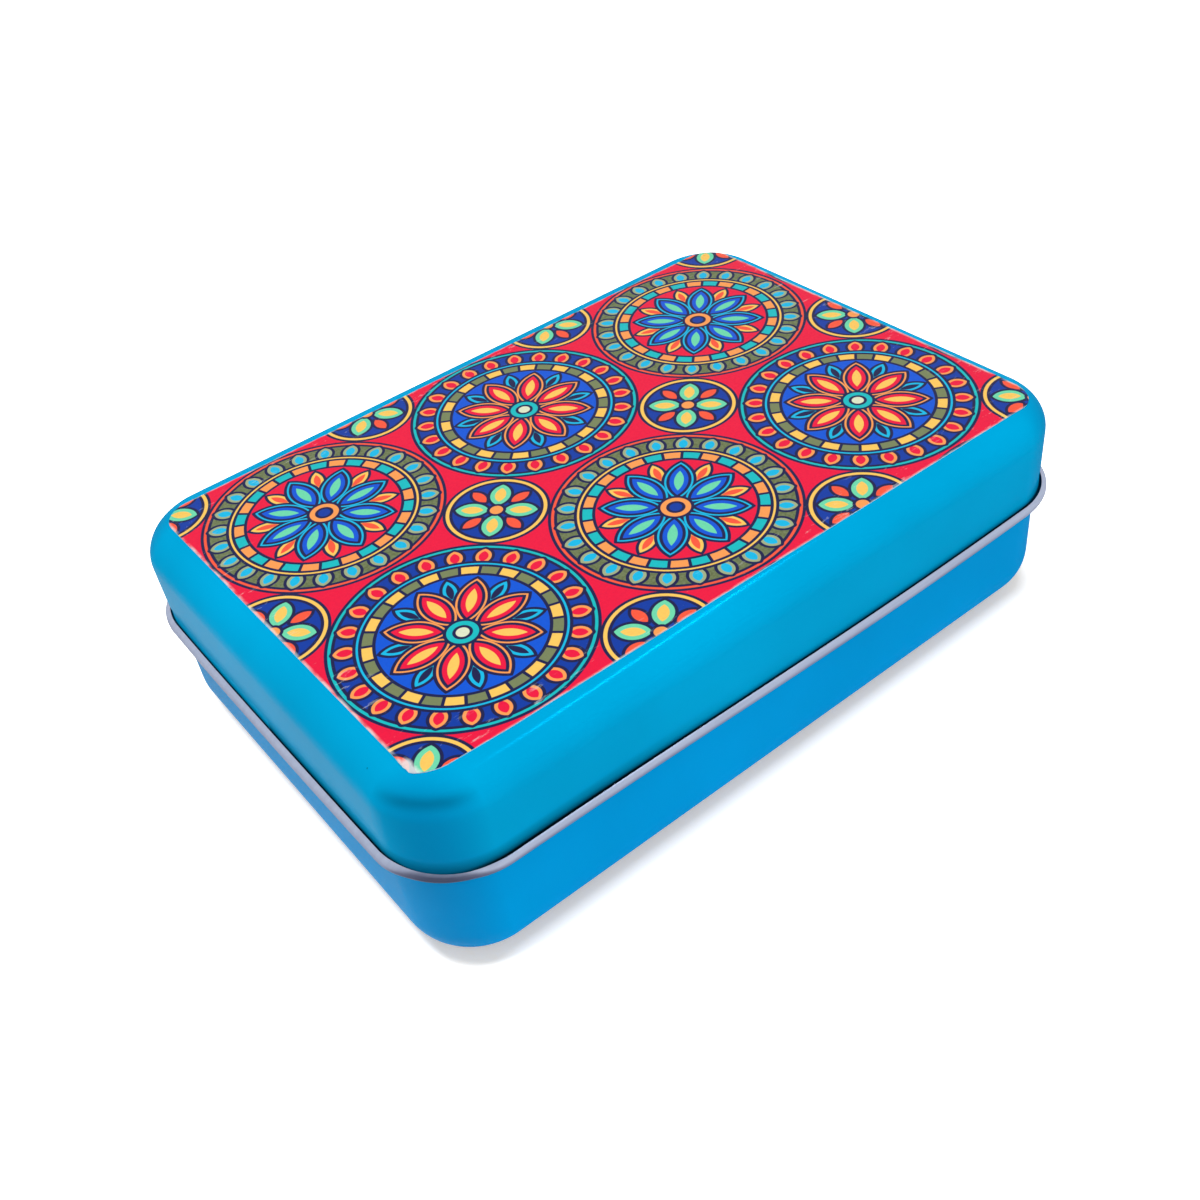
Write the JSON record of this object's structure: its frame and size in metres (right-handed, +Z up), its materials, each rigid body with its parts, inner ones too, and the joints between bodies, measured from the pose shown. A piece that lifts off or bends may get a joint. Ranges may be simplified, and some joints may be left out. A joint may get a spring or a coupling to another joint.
{
  "type": "soap tin",
  "caption": "Low rectangular tinplate box with round corners, a hinged lid with a rolled hem, and a patterned sheet on top; keeps a bar of soap.",
  "frame": {"origin": "centre of the underside, on the surface the tin stands on", "axes": "+X along the length, +Y towards the hinge at the back, +Z up; the front faces -Y"},
  "size_m": [0.1122, 0.0794, 0.0327],
  "materials": {
    "base_paint": "gloss turquoise enamel outside, bare tinplate inside",
    "lid_paint": "gloss turquoise enamel outside, bare tinplate inside and on the hem",
    "label_print": "satin printed vinyl"
  },
  "bodies": {
    "base": {"base_pan": "base_paint"},
    "lid": {"lid_cover": "lid_paint", "lid_label": "label_print"}
  },
  "joints": [
    {"name": "lid_hinge", "type": "hinge", "parent": "base", "child": "lid", "pos_m": [0, 0.0384, 0.0185], "axis": [-1, 0, 0], "range_deg": [0, 110]}
  ]
}
